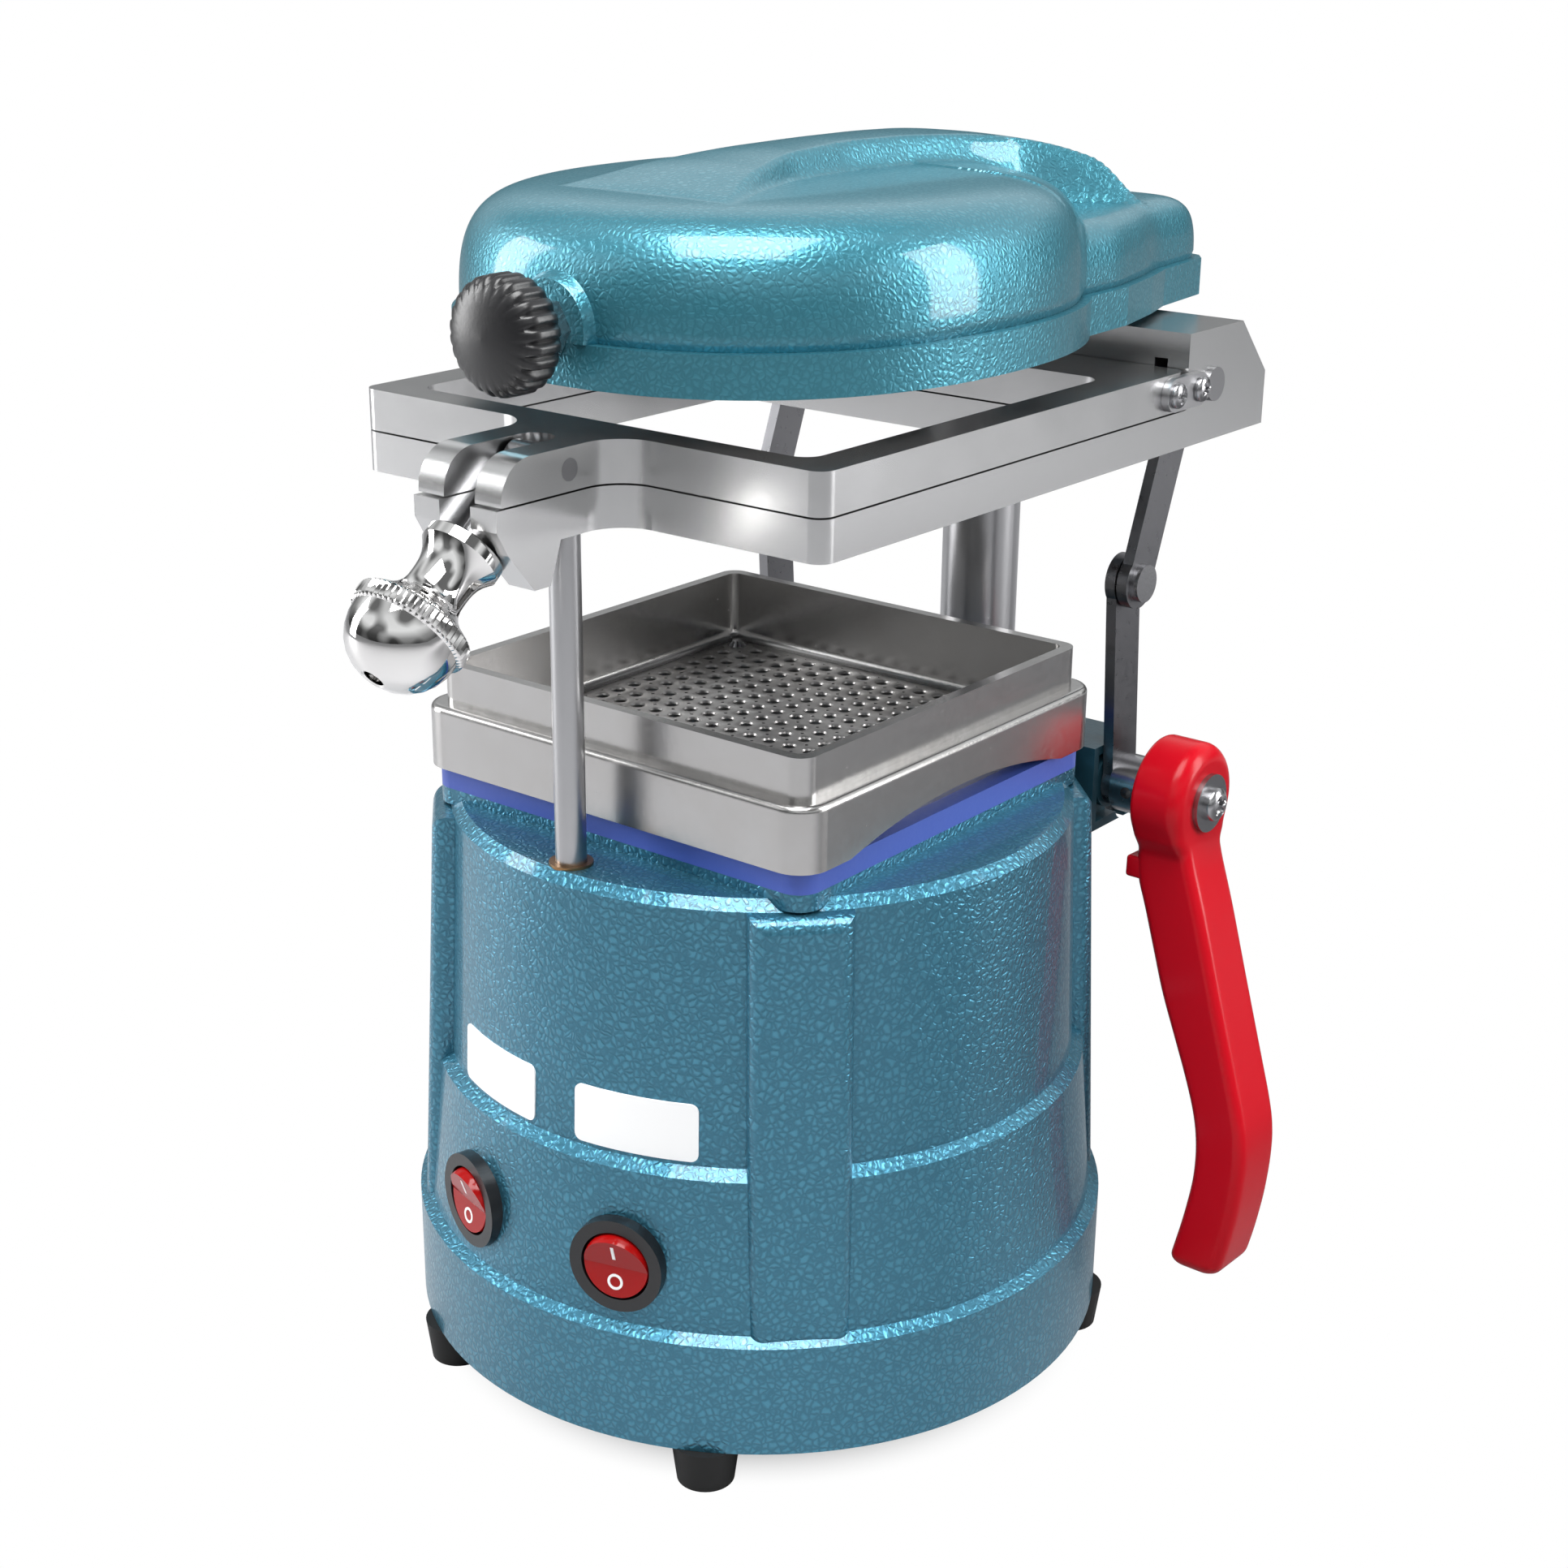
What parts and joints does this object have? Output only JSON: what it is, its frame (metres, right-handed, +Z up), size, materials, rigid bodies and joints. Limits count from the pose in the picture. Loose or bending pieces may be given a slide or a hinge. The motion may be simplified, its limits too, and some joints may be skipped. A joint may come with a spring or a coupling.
{
  "type": "dental vacuum former",
  "caption": "Bench-top vacuum former: teal drum base with a perforated forming tray, a hinged sheet frame on a lever-driven carriage, and a swivelling heater head.",
  "frame": {"origin": "drum axis in the plane that the feet stand on", "axes": "+Z up, -Y to the front of the machine, +X to the lever side"},
  "size_m": [0.2051, 0.2743, 0.3129],
  "materials": {
    "teal_paint": "hammered gloss",
    "frame_aluminium": "satin",
    "tray_aluminium": "cast satin",
    "chrome": "polished",
    "steel": "brushed",
    "dark_steel": "dark",
    "brass": "satin",
    "black_plastic": "satin",
    "motor_grey": "matte",
    "red_plastic": "gloss",
    "red_rocker": "translucent gloss",
    "blue_silicone": "matte",
    "foot_rubber": "matte"
  },
  "bodies": {
    "base": {"base_housing": "teal_paint", "base_plate": "steel", "feet": "foot_rubber", "foot_screws": "steel", "vacuum_motor": "motor_grey", "motor_gasket": "foot_rubber", "power_inlet": "black_plastic", "switch_bezel_right": "black_plastic", "switch_bezel_left": "black_plastic", "seal_pad": "blue_silicone", "forming_tray": "tray_aluminium", "perforated_plate": "tray_aluminium", "tray_screws": "steel", "rear_column": "chrome", "rod_bush": "brass", "bearing_bracket_right": "teal_paint", "bearing_bracket_left": "teal_paint", "bracket_screws": "steel"},
    "carriage": {"lower_frame": "frame_aluminium", "column_bushes": "brass", "guide_rod": "chrome", "link_pins": "steel", "pivot_screws": "dark_steel"},
    "sheet_clamp": {"upper_frame": "frame_aluminium", "clamp_pins": "steel", "hinge_straps": "dark_steel", "strap_screws": "dark_steel"},
    "bolt": {"swing_bolt": "steel"},
    "knob": {"clamp_knob": "chrome"},
    "lever": {"drive_shaft": "steel", "crank_arm_right": "steel", "crank_arm_left": "steel", "handle_collar": "steel", "end_collar": "steel", "handle_lever": "red_plastic", "handle_washer": "steel", "handle_screw": "steel"},
    "links": {"link_right": "steel", "link_left": "steel", "knee_pins": "steel"},
    "heater": {"heater_rim": "teal_paint", "heater_cover": "teal_paint", "heater_collar": "frame_aluminium", "heat_reflector": "steel", "heating_element": "dark_steel", "knob_nut": "steel", "heater_knob": "black_plastic"},
    "switch_right": {"rocker_right": "red_rocker"},
    "switch_left": {"rocker_left": "red_rocker"}
  },
  "joints": [
    {"name": "carriage_slide", "type": "slide", "parent": "base", "child": "carriage", "axis": [0, 0, 1], "range_m": [-0.059, 0]},
    {"name": "lever_turn", "type": "hinge", "parent": "base", "child": "lever", "pos_m": [0, 0.0815, 0.1433], "axis": [1, 0, 0], "range_deg": [-80.78, 0]},
    {"name": "links_turn", "type": "hinge", "parent": "carriage", "child": "links", "pos_m": [0, 0.0965, 0.2507], "axis": [1, 0, 0], "range_deg": [0, 70.02]},
    {"name": "clamp_hinge", "type": "hinge", "parent": "carriage", "child": "sheet_clamp", "pos_m": [0, 0.087, 0.251], "axis": [1, 0, 0], "range_deg": [-2.5, 0]},
    {"name": "bolt_swing", "type": "hinge", "parent": "carriage", "child": "bolt", "pos_m": [0, -0.0837, 0.2508], "axis": [1, 0, 0], "range_deg": [-60, 0]},
    {"name": "knob_turn", "type": "hinge", "parent": "bolt", "child": "knob", "pos_m": [0, -0.11109, 0.22901], "axis": [0, -0.7826, -0.6225], "continuous": true},
    {"name": "heater_swivel", "type": "hinge", "parent": "base", "child": "heater", "pos_m": [0, 0.0976, 0.275], "axis": [0, 0, 1], "range_deg": [-90, 90]},
    {"name": "rocker_right_tilt", "type": "hinge", "parent": "base", "child": "switch_right", "pos_m": [0.0243, -0.08473, 0.058], "axis": [0.9613, 0.2756, 0], "range_deg": [-13, 0]},
    {"name": "rocker_left_tilt", "type": "hinge", "parent": "base", "child": "switch_left", "pos_m": [-0.0243, -0.08473, 0.058], "axis": [0.9613, -0.2756, 0], "range_deg": [-13, 0]}
  ],
  "couplings": [
    {"joint": "lever_turn", "follows": "carriage_slide", "rad_per_m": 23.851},
    {"joint": "links_turn", "follows": "carriage_slide", "rad_per_m": -20.668}
  ]
}
